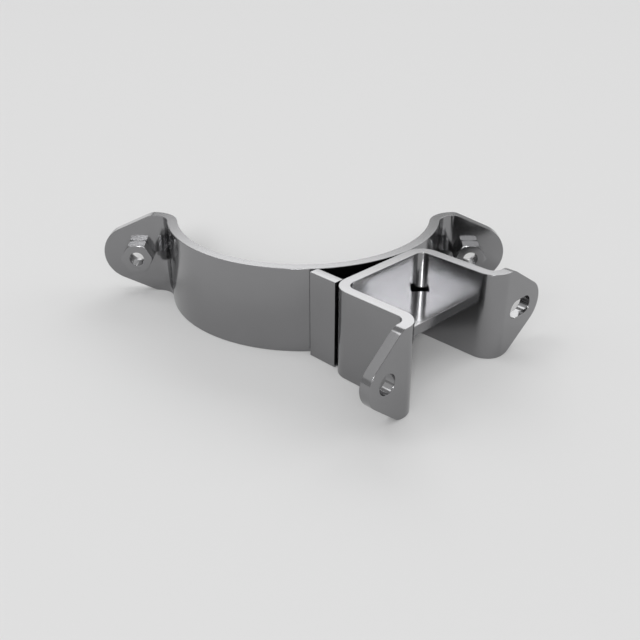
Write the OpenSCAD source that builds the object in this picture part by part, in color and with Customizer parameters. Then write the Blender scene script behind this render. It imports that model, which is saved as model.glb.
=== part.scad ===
// Mounting bracket: one half of a clamp for a round pole, carrying a U-shaped channel with two
// drilled ears. It is welded up from flat bar. The origin lies on the pole's axis, at the level
// of the lower edges, and the clamp opens towards +Y.

/* [Flat bar] */
// Thickness of the flat bar
bar_t = 6; // [4:0.5:8]
// Width of the flat bar, which is the height of the bracket
bar_w = 50; // [40:1:80]

/* [Pole band] */
// Diameter of the pole
pole_d = 152; // [120:1:220]
// Distance from the tabs' back faces to the middle plane of the clamp
half_gap = 0.2; // [0:0.1:3]
// Inside radius of the reverse bend between the half ring and each tab
band_bend_r = 10.5; // [6:0.5:14]
// Length of each tab, from the outside of the half ring to the tip
tab_l = 40.5; // [36:0.5:60]
// Distance from the outside of the half ring to the point where a tab starts to taper
tab_taper_start = 10; // [6:0.5:14]
// Radius of the rounded tip of a tab
tab_tip_r = 17.4; // [12:0.2:18]
// Distance from the outside of the half ring to the centre of a bolt hole
bolt_out = 19; // [18.5:0.5:24]
// Diameter of the bolt hole in a tab
bolt_hole_d = 12; // [9:0.5:13]

/* [Nuts] */
// Width of a nut across its flats
nut_flats = 17; // [14:0.5:18]
// Height of a nut
nut_h = 8.4; // [5:0.2:10]
// Diameter of the bore in a nut, measured at the crests of the thread
nut_bore_d = 8.5; // [6:0.1:8.8]
// Width of the chamfer on each corner of a nut, measured across its face
nut_corner_cut = 1.5; // [0.5:0.1:2]
// Width of the countersink at each mouth of a nut's bore
nut_mouth_cut = 0.5; // [0.2:0.1:1]

/* [Channel] */
// Angle between the pole band's middle line and the channel's
channel_turn = 45; // [0:1:60]
// Distance from the pole's axis to the middle line of the channel
channel_offset = 25.6; // [20:0.2:30]
// Clear width between the legs of the channel
channel_w = 60; // [50:1:70]
// Depth of the channel, from the back of its base wall to the front of its ears
channel_depth = 56; // [50:1:80]
// Inside radius of the bends at the base wall
base_bend_r = 5.5; // [3:0.5:7]
// Inside radius of the bends at the ears
ear_bend_r = 5; // [3:0.5:7]

/* [Ears] */
// Length of the ear with the round hole, from the outside of its leg to its tip
hole_ear_l = 31.5; // [29:0.5:45]
// Length of the ear with the slot, from the outside of its leg to its tip
slot_ear_l = 36.5; // [34:0.5:50]
// Distance from the outside of a leg to the point where its ear starts to taper
ear_taper_start = 9; // [7:0.5:12]
// Radius of the rounded tip of an ear
ear_tip_r = 13; // [11:0.2:14]
// Distance from the outside of a leg to the centre of the hole or slot in its ear
ear_hole_out = 18.5; // [17:0.5:20]
// Diameter of the round hole
ear_hole_d = 11; // [8:0.5:13]
// Width of the slot
slot_w = 10.5; // [8:0.5:13]
// Length of the slot, from end to end
slot_l = 18.5; // [14:0.5:20]

/* [Web plate] */
// Thickness of the web plate
web_t = 6; // [4:0.5:8]
// Depth of the web plate, from the base wall to its front edge
web_depth = 27; // [20:0.5:40]
// Width of the cut across each inner corner of the web plate
web_corner_cut = 7; // [7:0.5:12]

/* [Spacer plate] */
// Thickness of the spacer plate
spacer_t = 6; // [4:0.5:8]
// Distance from the outside of the channel's leg to the spacer plate's outer face
spacer_inset = 4.3; // [3:0.1:5]

/* [Edges] */
// Radius that rounds the corner where a tab or an ear starts to taper
taper_round_r = 9; // [4:0.5:12]

/* [Hidden] */
$fn = 96;
steel = [0.40, 0.41, 0.42];
zinc = [0.52, 0.53, 0.54];
// Length by which a cutting shape passes the faces that it cuts
over = 1;
mid_z = bar_w / 2;

band_in_r = pole_d / 2;
band_out_r = band_in_r + bar_t;
tab_front = half_gap + bar_t;
// Length by which the circles of a reverse bend run into those of the ring, so that they cross
bend_overlap = 0.002;
// Middle of a reverse bend, which touches the tab's front face and meets the ring's outside
band_bend_y = tab_front + band_bend_r;
band_bend_x = sqrt(pow(band_out_r + band_bend_r - bend_overlap, 2) - pow(band_bend_y, 2));
tab_tip = band_out_r + tab_l;
bolt_x = band_out_r + bolt_out;

// The channel is drawn pointing along +X, with its base wall touching the band
base_back = band_out_r;
base_front = base_back + bar_t;
leg_in = channel_w / 2;
leg_out = leg_in + bar_t;
ear_front = base_back + channel_depth;
ear_back = ear_front - bar_t;

// The spacer plate's near edge, measured across from the pole's axis, meets the band's outside
spacer_far = channel_offset + leg_out - spacer_inset;
spacer_near = spacer_far - spacer_t;
spacer_start = sqrt(pow(band_out_r, 2) - pow(spacer_near, 2));

// Point where the upper line from p touches the circle of radius r round c
function touch_point(c, r, p) =
    let(a = atan2(p[1] - c[1], p[0] - c[0]) - acos(r / norm(p - c)))
    c + r * [cos(a), sin(a)];

// Section of the bar round a quarter bend, with r as its inside radius
module bar_bend(r) {
    intersection() {
        difference() {
            circle(r + bar_t);
            circle(r);
        }
        square(r + bar_t + over);
    }
}

// Side outline of a tab or an ear: full height up to start, then tapered to a rounded tip
module tongue_outline(start, tip, tip_r) {
    centre = [tip - tip_r, mid_z];
    touch = touch_point(centre, tip_r, [start, bar_w]);
    slope = atan2(bar_w - touch[1], touch[0] - start);
    round_l = taper_round_r * tan(slope / 2);
    difference() {
        union() {
            translate(centre) circle(tip_r);
            polygon([[-over, 0], [start, 0], [touch[0], bar_w - touch[1]], touch,
                [start, bar_w], [-over, bar_w]]);
        }
        for (lower = [0, 1])
            translate([start - round_l, mid_z]) mirror([0, lower]) translate([0, bar_w / 2])
                difference() {
                    polygon([[0, 0], [0, over], [round_l * (1 + cos(slope)), over],
                        [round_l * (1 + cos(slope)), -round_l * sin(slope)]]);
                    translate([0, -taper_round_r]) circle(taper_round_r);
                }
    }
}

// Region behind one face of the band, seen from above: a disc and a wide strip above the level y,
// with a fillet of radius r in each corner between them
module band_region(disc_r, y, r) {
    circle(disc_r);
    translate([-tab_tip - over, y]) square([2 * (tab_tip + over), 2 * band_out_r]);
    for (left = [0, 1])
        mirror([left, 0]) difference() {
            polygon([[0, 0], [band_bend_x, -band_bend_y], [band_bend_x, y + over]]);
            translate([band_bend_x, -band_bend_y]) circle(r);
        }
}

// The band and its tabs seen from above: what lies behind the front face but not behind the back one
module band_plan() {
    intersection() {
        difference() {
            band_region(band_out_r, -tab_front, band_bend_r);
            band_region(band_in_r, -half_gap, band_bend_r + bar_t);
        }
        translate([-tab_tip - over, -band_out_r - over])
            square([2 * (tab_tip + over), band_out_r + over]);
    }
}

// Half ring with a tapered tab at each end, and a plain bolt hole in each tab
module pole_band() {
    color(steel) difference() {
        intersection() {
            linear_extrude(bar_w) band_plan();
            rotate([90, 0, 0]) linear_extrude(band_out_r + over)
                for (left = [0, 1])
                    mirror([left, 0]) tongue_outline(band_out_r + tab_taper_start, tab_tip, tab_tip_r);
        }
        for (side = [-1, 1])
            translate([side * bolt_x, over, mid_z]) rotate([90, 0, 0])
                cylinder(h = tab_front + 2 * over, d = bolt_hole_d);
    }
}

// Hexagon nut on the front face of a tab, with its upper flat level, its corners chamfered and the
// mouths of its bore countersunk
module nut(side) {
    corner_r = nut_flats / 2 / cos(30);
    face_r = corner_r - nut_corner_cut;
    chamfer_h = (nut_corner_cut + over) * tan(30);
    bore_r = nut_bore_d / 2;
    mouth_r = bore_r + nut_mouth_cut;
    color(zinc) translate([side * bolt_x, -tab_front, mid_z]) rotate([90, 0, 0])
        intersection() {
            cylinder(h = nut_h, r = corner_r, $fn = 6);
            rotate_extrude() polygon([[bore_r, nut_mouth_cut], [mouth_r, 0], [face_r, 0],
                [corner_r + over, chamfer_h], [corner_r + over, nut_h - chamfer_h],
                [face_r, nut_h], [mouth_r, nut_h], [bore_r, nut_h - nut_mouth_cut]]);
        }
}

// The two nuts, one on each tab
module nut_left() { nut(-1); }
module nut_right() { nut(1); }

// Places what is drawn pointing along +X on the band, with the channel's middle line as its axis
module on_channel_line() {
    rotate([0, 0, -channel_turn]) translate([0, -channel_offset, 0]) children();
}

// One half of the channel seen from above: base wall, corner bend, leg, ear bend and ear
module half_channel_plan(ear_l) {
    corner = leg_in - base_bend_r;
    leg_start = base_front + base_bend_r;
    leg_end = ear_back - ear_bend_r;
    translate([base_back, -over]) square([bar_t, corner + over]);
    translate([leg_start, corner]) rotate(90) bar_bend(base_bend_r);
    translate([leg_start, leg_in]) square([leg_end - leg_start, bar_t]);
    translate([leg_end, leg_out + ear_bend_r]) rotate(-90) bar_bend(ear_bend_r);
    translate([ear_back, leg_out + ear_bend_r]) square([bar_t, ear_l - ear_bend_r]);
}

// The same half at its full height, with the ear cut to its tapered outline
module half_channel(ear_l) {
    intersection() {
        linear_extrude(bar_w) half_channel_plan(ear_l);
        rotate([90, 0, 90]) linear_extrude(ear_front + over)
            tongue_outline(leg_out + ear_taper_start, leg_out + ear_l, ear_tip_r);
    }
}

// Drill through the ear on the +Y side, moved along the ear from the centre of its hole or slot
module ear_drill(d, along) {
    translate([ear_back - over, leg_out + ear_hole_out + along, mid_z]) rotate([0, 90, 0])
        cylinder(h = bar_t + 2 * over, d = d);
}

// Cutter for the slot: a drill at each end and a block between them
module slot_cutter() {
    half = (slot_l - slot_w) / 2;
    for (end = [-half, half])
        ear_drill(slot_w, end);
    translate([ear_back - over, leg_out + ear_hole_out - half, mid_z - slot_w / 2])
        cube([bar_t + 2 * over, 2 * half, slot_w]);
}

// U of flat bar with its ends turned out as ears, one with a round hole and one with a slot
module channel() {
    color(steel) on_channel_line() {
        difference() {
            union() {
                half_channel(slot_ear_l);
                mirror([0, 1, 0]) half_channel(hole_ear_l);
            }
            slot_cutter();
            mirror([0, 1, 0]) ear_drill(ear_hole_d, 0);
        }
    }
}

// Level plate across the channel at mid-height, clear of the bends at its inner corners
module web_plate() {
    cut = web_corner_cut;
    color(steel) on_channel_line() translate([base_front, 0, mid_z - web_t / 2])
        linear_extrude(web_t) polygon([[0, leg_in - cut], [cut, leg_in], [web_depth, leg_in],
            [web_depth, -leg_in], [cut, -leg_in], [0, cut - leg_in]]);
}

// Upright plate that fills the space between the band and the outer end of the base wall
module spacer_plate() {
    color(steel) rotate([0, 0, -channel_turn]) translate([spacer_start, -spacer_far, 0])
        cube([base_back - spacer_start, spacer_t, bar_w]);
}

pole_band();
nut_left();
nut_right();
channel();
web_plate();
spacer_plate();
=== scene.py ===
import math
import bmesh
import bpy
from mathutils import Matrix, Vector


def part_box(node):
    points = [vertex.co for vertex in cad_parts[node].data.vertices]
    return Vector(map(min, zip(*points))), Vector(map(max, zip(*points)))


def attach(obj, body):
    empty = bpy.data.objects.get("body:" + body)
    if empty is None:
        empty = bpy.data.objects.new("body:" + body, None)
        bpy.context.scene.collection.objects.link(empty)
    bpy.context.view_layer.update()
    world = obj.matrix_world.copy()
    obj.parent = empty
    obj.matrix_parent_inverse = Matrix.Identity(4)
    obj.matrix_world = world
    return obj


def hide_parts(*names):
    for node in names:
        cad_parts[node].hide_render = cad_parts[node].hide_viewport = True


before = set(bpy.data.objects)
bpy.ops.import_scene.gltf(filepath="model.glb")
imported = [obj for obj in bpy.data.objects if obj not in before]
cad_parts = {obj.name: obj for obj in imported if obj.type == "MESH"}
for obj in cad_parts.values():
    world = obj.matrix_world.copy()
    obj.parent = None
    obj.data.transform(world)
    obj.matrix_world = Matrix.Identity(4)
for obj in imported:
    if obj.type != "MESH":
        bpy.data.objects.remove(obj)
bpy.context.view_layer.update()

# The camera stands in front of the open side of the channel and looks down on the bracket, at the
# angle and distance that the photograph's perspective gives.
camera_place = (0.00992, -0.4760, 0.2340)
camera_tilt = math.radians(28.54)
camera_lens_mm = 46.9
camera_sensor_mm = 36
camera_data = bpy.data.cameras.new("camera")
camera_data.sensor_width = camera_sensor_mm
camera_data.lens = camera_lens_mm
camera = bpy.data.objects.new("camera", camera_data)
camera.location = camera_place
camera.rotation_euler = (math.pi / 2 - camera_tilt, 0, 0)
bpy.context.scene.collection.objects.link(camera)
bpy.context.scene.camera = camera

# The pole band is hot-rolled flat bar, bent to a half ring with a tab at each end. The bar's
# corners are slightly eased, and its skin is smooth, dark and evenly polished.
bar_edge_r = 0.0003
edge_segments = 2
merge_distance = 1e-6
contact_reach = 1e-4
flat_angle = math.radians(0.3)
sharp_angle = math.radians(35)
uneased_angle = math.radians(60)
large_face_weight = 100
steel_colour = (0.30, 0.30, 0.305, 1)
steel_shade = (0.26, 0.26, 0.265, 1)
steel_roughness = (0.13, 0.18)
cloud_scale = 28
cloud_detail = 5
rolling_line_scale = (6, 6, 900)
rolling_line_detail = 3
rolling_line_strength = 0.03
rolling_line_depth = 0.0001


def metal_finish(name, colour, shade, roughness):
    """Bare metal with a cloudy colour and gloss, and fine level lines in its surface."""
    material = bpy.data.materials.new(name)
    material.use_nodes = True
    tree = material.node_tree
    shader = tree.nodes["Principled BSDF"]
    shader.inputs["Metallic"].default_value = 1
    place = tree.nodes.new("ShaderNodeTexCoord")

    clouds = tree.nodes.new("ShaderNodeTexNoise")
    clouds.inputs["Scale"].default_value = cloud_scale
    clouds.inputs["Detail"].default_value = cloud_detail
    tree.links.new(place.outputs["Object"], clouds.inputs["Vector"])
    tint = tree.nodes.new("ShaderNodeMix")
    tint.data_type = "RGBA"
    tint.inputs["A"].default_value = shade
    tint.inputs["B"].default_value = colour
    tree.links.new(clouds.outputs["Fac"], tint.inputs["Factor"])
    tree.links.new(tint.outputs["Result"], shader.inputs["Base Color"])
    gloss = tree.nodes.new("ShaderNodeMapRange")
    gloss.inputs["To Min"].default_value = roughness[0]
    gloss.inputs["To Max"].default_value = roughness[1]
    tree.links.new(clouds.outputs["Fac"], gloss.inputs["Value"])
    tree.links.new(gloss.outputs["Result"], shader.inputs["Roughness"])

    stretch = tree.nodes.new("ShaderNodeMapping")
    stretch.inputs["Scale"].default_value = rolling_line_scale
    tree.links.new(place.outputs["Object"], stretch.inputs["Vector"])
    lines = tree.nodes.new("ShaderNodeTexNoise")
    lines.inputs["Scale"].default_value = 1
    lines.inputs["Detail"].default_value = rolling_line_detail
    tree.links.new(stretch.outputs["Vector"], lines.inputs["Vector"])
    relief = tree.nodes.new("ShaderNodeBump")
    relief.inputs["Strength"].default_value = rolling_line_strength
    relief.inputs["Distance"].default_value = rolling_line_depth
    tree.links.new(lines.outputs["Fac"], relief.inputs["Height"])
    tree.links.new(relief.outputs["Normal"], shader.inputs["Normal"])
    return material


def finished_piece(node, name, edge_r, material, against=()):
    """A copy of a CAD node with its flat faces whole, its corners eased and its curves smooth.

    against holds planes, each a direction and a distance along it, where the piece stands against
    another; the corners that lie in them stay sharp.
    """
    shape = bmesh.new()
    shape.from_mesh(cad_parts[node].data)
    bmesh.ops.remove_doubles(shape, verts=shape.verts, dist=merge_distance)
    bmesh.ops.dissolve_limit(shape, angle_limit=flat_angle, verts=shape.verts, edges=shape.edges)
    corners = [e for e in shape.edges if e.calc_face_angle(0) > sharp_angle
               and not any(all(abs(v.co.dot(way) - far) < contact_reach for v in e.verts)
                           for way, far in against)]
    bmesh.ops.bevel(shape, geom=corners, offset=edge_r, affect="EDGES", segments=edge_segments,
                    profile=0.5, clamp_overlap=True, material=-1)
    for face in shape.faces:
        face.smooth = True
    for edge in shape.edges:
        edge.smooth = edge.calc_face_angle(0) < uneased_angle
    mesh = bpy.data.meshes.new(name)
    shape.to_mesh(mesh)
    shape.free()
    mesh.materials.clear()
    mesh.materials.append(material)
    piece = bpy.data.objects.new(name, mesh)
    bpy.context.scene.collection.objects.link(piece)
    even = piece.modifiers.new("even_normals", "WEIGHTED_NORMAL")
    even.mode = "FACE_AREA"
    even.weight = large_face_weight
    even.keep_sharp = True
    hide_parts(node)
    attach(piece, "root")
    return piece


bar_steel = metal_finish("bar_steel", steel_colour, steel_shade, steel_roughness)
finished_piece("pole_band", "bent_pole_band", bar_edge_r, bar_steel)

# The channel is the same flat bar, bent to a U with its ends turned outwards as ears. One ear is
# drilled for a bolt and the other is slotted, and both are cut to a rounded taper.
finished_piece("channel", "bent_channel", bar_edge_r, bar_steel)

# The web plate is a piece of the bar laid level across the channel and welded to its walls. Its
# inner corners are cut off, clear of the channel's bends.
channel_way = Vector((math.sqrt(0.5), -math.sqrt(0.5), 0))
across_way = Vector((math.sqrt(0.5), math.sqrt(0.5), 0))


def reach(node, way):
    """Least and greatest distance of a CAD node's points along a direction."""
    far = [v.co.dot(way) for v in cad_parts[node].data.vertices]
    return min(far), max(far)


web_walls = [(channel_way, reach("web_plate", channel_way)[0])]
web_walls += [(across_way, side) for side in reach("web_plate", across_way)]
finished_piece("web_plate", "welded_web_plate", bar_edge_r, bar_steel, web_walls)

# The spacer plate is a short upright length of the bar, set between the band and the end of the
# channel's base wall, and welded to both.
spacer_ends = [(channel_way, end) for end in reach("spacer_plate", channel_way)]
finished_piece("spacer_plate", "welded_spacer_plate", bar_edge_r, bar_steel, spacer_ends)

# The nuts are cold-formed M10 hexagon nuts with bright zinc plate, welded to the front of the tabs.
# Their bores are tapped with a coarse right-hand thread, and only lightly eased at the mouths.
nut_edge_r = 0.0002
nut_crest_r = 0.00425
nut_root_r = 0.0050
nut_mouth_r = 0.0044
countersink_r = 0.00475
rim_inside = 1.2 * nut_edge_r
rim_outside = 2 * nut_edge_r
thread_pitch = 0.0015
thread_crest_half = 1 / 8
thread_flank = 5 / 16
thread_columns = 96
thread_rows_per_turn = 12
zinc_colour = (0.31, 0.31, 0.315, 1)
zinc_shade = (0.27, 0.27, 0.275, 1)
zinc_roughness = (0.12, 0.17)


def thread_radius(depth, length, turn):
    """Radius of the tapped bore at a depth below the face, at an angle given in turns.

    The half crest and the flank are shares of the pitch. Each mouth is eased at 45 degrees.
    """
    phase = (depth / thread_pitch + turn) % 1
    rise = min(max((min(phase, 1 - phase) - thread_crest_half) / thread_flank, 0), 1)
    groove = nut_crest_r + rise * (nut_root_r - nut_crest_r)
    near = min(depth, length - depth)
    return max(nut_mouth_r - near, min(groove, nut_mouth_r + near))


def tapped_nut(node, name, material):
    """A copy of the CAD nut whose plain bore is taken out and replaced with a threaded one."""
    low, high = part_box(node)
    axis_x = (low[0] + high[0]) / 2
    axis_z = (low[2] + high[2]) / 2
    middle_y = (low[1] + high[1]) / 2
    length = high[1] - low[1]
    nut = finished_piece(node, name, nut_edge_r, material)
    shape = bmesh.new()
    shape.from_mesh(nut.data)

    # The plain bore goes, and the eased rim of each countersink is drawn in to the thread's mouth.
    from_axis = {v: math.hypot(v.co.x - axis_x, v.co.z - axis_z) for v in shape.verts}
    for vert in [v for v in shape.verts if from_axis[v] < countersink_r + rim_outside]:
        if from_axis[vert] < countersink_r - rim_inside:
            shape.verts.remove(vert)
        else:
            closer = (from_axis[vert] - countersink_r + nut_mouth_r) / from_axis[vert]
            vert.co.x = axis_x + (vert.co.x - axis_x) * closer
            vert.co.z = axis_z + (vert.co.z - axis_z) * closer

    # The threaded bore is a tube cut into even rows. It starts and ends one row inside the faces.
    rows = round(length / thread_pitch * thread_rows_per_turn)
    row_depth = length / rows
    bore = bmesh.new()
    bore_place = Matrix.Translation((axis_x, middle_y, axis_z))
    bore_turn = Matrix.Rotation(math.pi / 2, 4, "X")
    bmesh.ops.create_cone(bore, cap_ends=False, segments=thread_columns, radius1=nut_crest_r,
                          radius2=nut_crest_r, depth=length - 2 * row_depth,
                          matrix=bore_place @ bore_turn)
    long_edges = [e for e in bore.edges if abs(e.verts[0].co.y - e.verts[1].co.y) > row_depth]
    bmesh.ops.subdivide_edges(bore, edges=long_edges, cuts=rows - 3)
    for vert in bore.verts:
        angle = math.atan2(vert.co.z - axis_z, vert.co.x - axis_x)
        r = thread_radius(vert.co.y - low[1], length, angle / (2 * math.pi))
        vert.co.x = axis_x + r * math.cos(angle)
        vert.co.z = axis_z + r * math.sin(angle)
    bore_mesh = bpy.data.meshes.new(name + "_bore")
    bore.to_mesh(bore_mesh)
    bore.free()
    shape.from_mesh(bore_mesh)
    bpy.data.meshes.remove(bore_mesh)

    # The tube is joined to the rim at each mouth, so that the nut is one closed shell.
    for front in (True, False):
        gap = [e for e in shape.edges
               if e.is_boundary and (e.verts[0].co.y < middle_y) == front]
        bmesh.ops.bridge_loops(shape, edges=gap)
    bmesh.ops.recalc_face_normals(shape, faces=shape.faces)
    for face in shape.faces:
        face.smooth = True
    shape.to_mesh(nut.data)
    shape.free()


nut_zinc = metal_finish("nut_zinc", zinc_colour, zinc_shade, zinc_roughness)
for side in ("left", "right"):
    tapped_nut(f"nut_{side}", f"hexagon_nut_{side}", nut_zinc)

# The floor is a wide, pale, matt sheet that the bracket stands on. It fills the camera's view and
# is pale by its own colour, so the steel mirrors it as it is seen, with the bracket's soft shadow.
floor_size = 14
floor_drop = 0.00005
floor_colour = (0.71, 0.71, 0.71, 1)
floor_shape = bmesh.new()
bmesh.ops.create_grid(floor_shape, x_segments=1, y_segments=1, size=floor_size / 2)
bmesh.ops.translate(floor_shape, verts=floor_shape.verts, vec=(0, 0, -floor_drop))
floor_mesh = bpy.data.meshes.new("floor")
floor_shape.to_mesh(floor_mesh)
floor_shape.free()
floor_material = bpy.data.materials.new("pale_floor")
floor_material.use_nodes = True
floor_shader = floor_material.node_tree.nodes["Principled BSDF"]
floor_shader.inputs["Base Color"].default_value = floor_colour
floor_shader.inputs["Roughness"].default_value = 1
floor_shader.inputs["Specular IOR Level"].default_value = 0
floor_mesh.materials.append(floor_material)
floor = bpy.data.objects.new("floor", floor_mesh)
bpy.context.scene.collection.objects.link(floor)

# The studio is an evenly grey room with soft boxes round it. Each box is aimed at the bracket and
# is given by its direction from it, the angles that it fills, and how bright its face looks.
room_colour = (1, 1, 1, 1)
room_level = 0.45
studio_middle = Vector((0, -0.06, 0.03))
box_distance = 12


def soft_box(name, azimuth, elevation, half_width, half_height, level):
    """Area lamp whose face has the brightness level, with its angles in degrees.

    The azimuth runs from +Y towards +X, and the elevation up from the floor.
    """
    a = math.radians(azimuth)
    e = math.radians(elevation)
    away = Vector((math.sin(a) * math.cos(e), math.cos(a) * math.cos(e), math.sin(e)))
    lamp = bpy.data.lights.new(name, "AREA")
    lamp.shape = "RECTANGLE"
    lamp.size = 2 * box_distance * math.tan(math.radians(half_width))
    lamp.size_y = 2 * box_distance * math.tan(math.radians(half_height))
    lamp.energy = level * math.pi * lamp.size * lamp.size_y
    box = bpy.data.objects.new(name, lamp)
    box.location = studio_middle + away * box_distance
    box.rotation_euler = away.to_track_quat("Z", "Y").to_euler()
    bpy.context.scene.collection.objects.link(box)


soft_box("top_box", 0, 88, 13, 13, 0.8)
soft_box("back_box", 12, 36.9, 22.5, 12.4, 2.15)
soft_box("low_back_box", -12, 8, 28, 9, 0.7)
soft_box("left_top_box", -76, 62, 10, 8, 2.4)
soft_box("left_box", -90, 36, 18, 17, 0.4)
soft_box("front_box", 185, 27, 28, 8, 2.3)
soft_box("inside_box", 185.5, 29.5, 4.5, 5.5, 38)
soft_box("right_box", 80, 28, 20, 12, 1.1)

world = bpy.data.worlds.new("studio")
world.use_nodes = True
room = world.node_tree.nodes["Background"]
room.inputs["Color"].default_value = room_colour
room.inputs["Strength"].default_value = room_level
bpy.context.scene.world = world
bpy.context.scene.view_settings.view_transform = "Standard"
